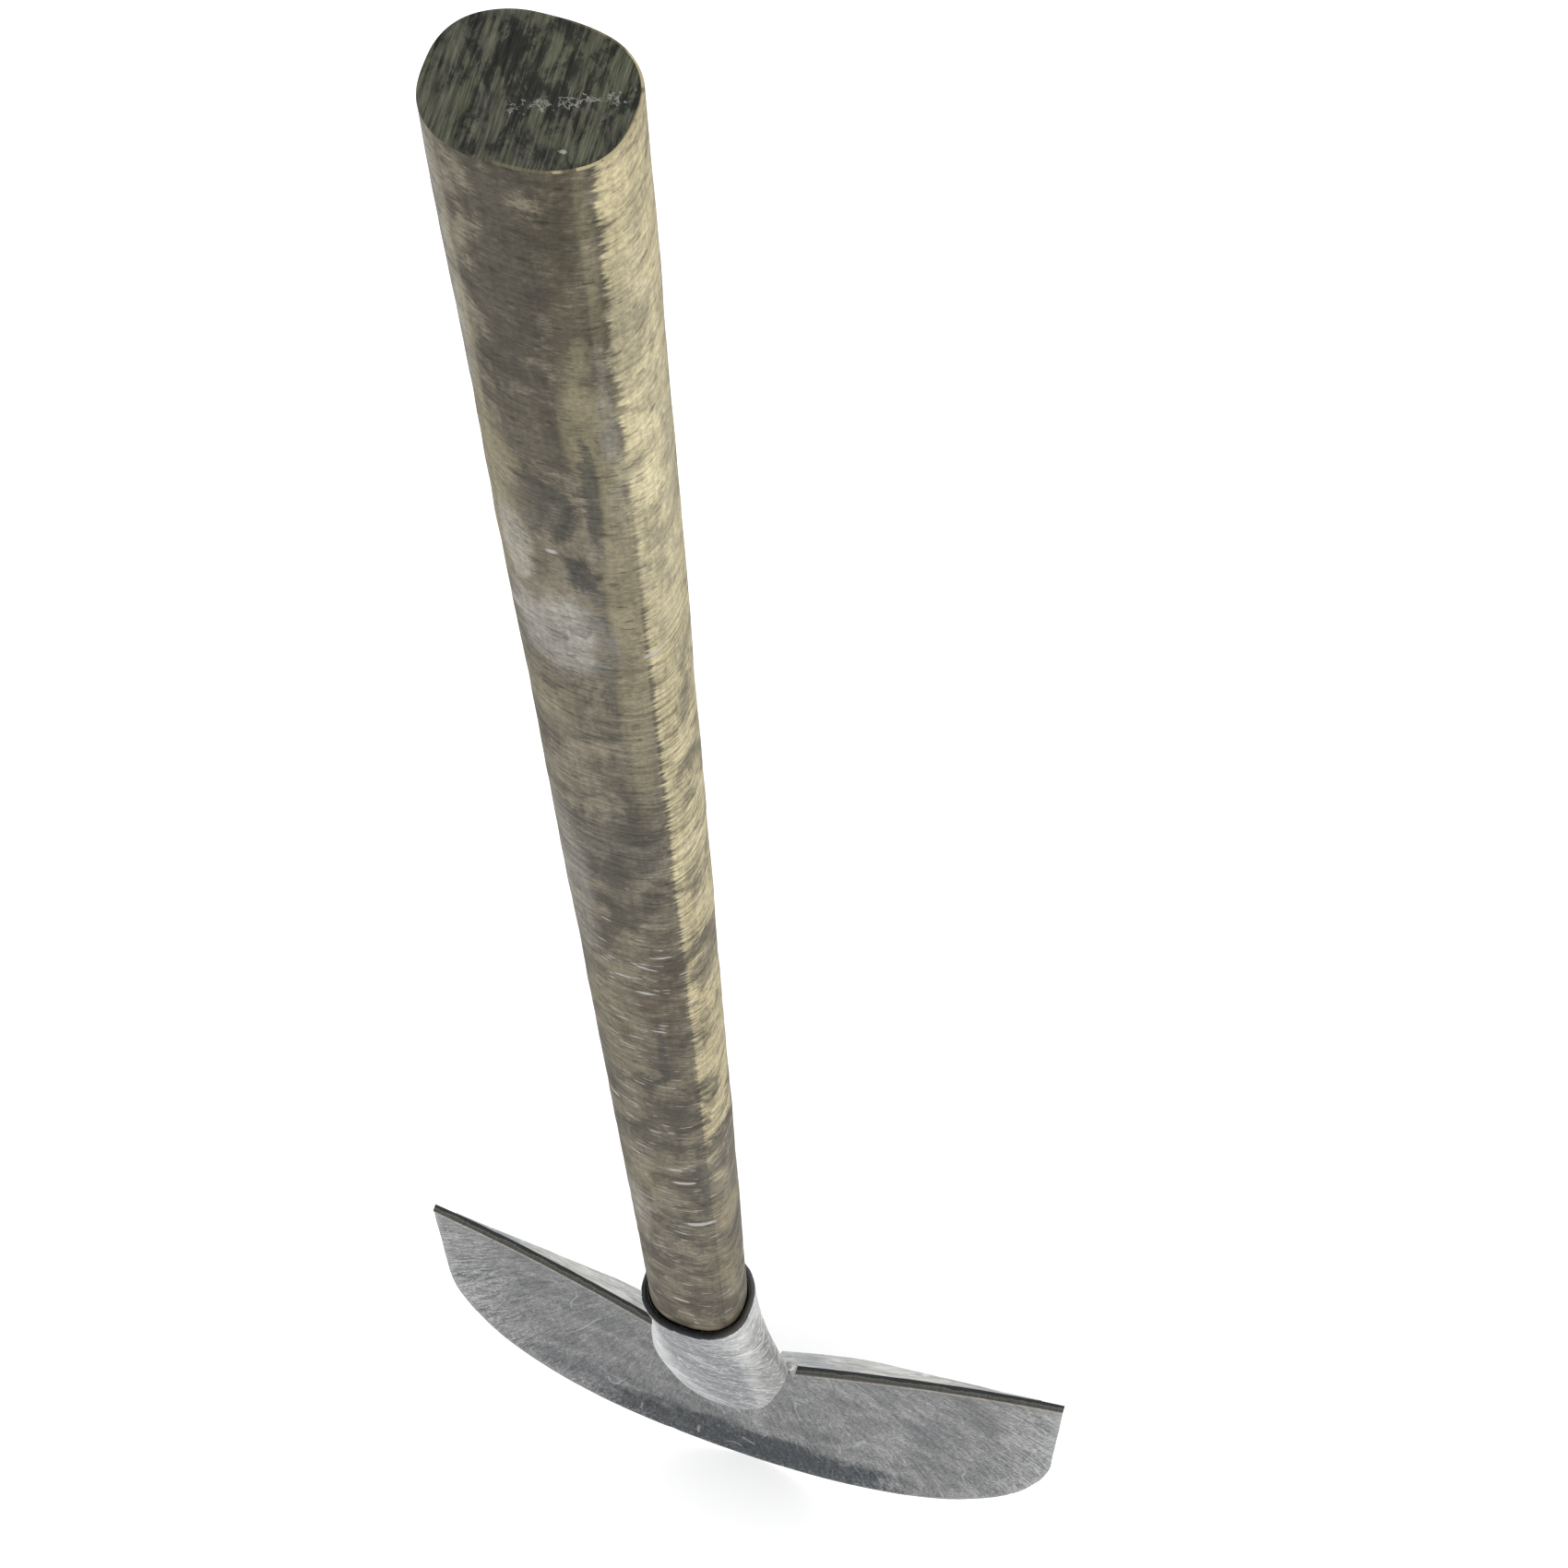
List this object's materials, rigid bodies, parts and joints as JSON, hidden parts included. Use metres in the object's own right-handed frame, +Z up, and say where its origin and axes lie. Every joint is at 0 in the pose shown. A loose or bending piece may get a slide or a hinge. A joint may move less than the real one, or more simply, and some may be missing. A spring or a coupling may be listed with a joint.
{
  "type": "grub hoe",
  "caption": "Long-handled grub hoe with an oval wooden shaft, a leaning steel socket and a half-moon steel blade with welded rear shoulders.",
  "frame": {"origin": "centre of the bounding box's base, level with the lowest point of the cutting edge", "axes": "+Z up along the handle, +X to the right along the blade's width, +Y to the rear, away from the blade's front face"},
  "size_m": [0.284, 0.0604, 1.191],
  "materials": {
    "shaft_wood": "weathered, unvarnished",
    "tool_steel": "worn and scratched, satin",
    "weld_steel": "as welded, dull"
  },
  "bodies": {
    "root": {"handle": "shaft_wood", "socket": "tool_steel", "blade": "tool_steel", "right_shoulder": "tool_steel", "left_shoulder": "tool_steel", "tongue_weld": "weld_steel", "corner_welds": "weld_steel", "shoulder_welds": "weld_steel", "retaining_screw": "tool_steel"}
  },
  "joints": []
}
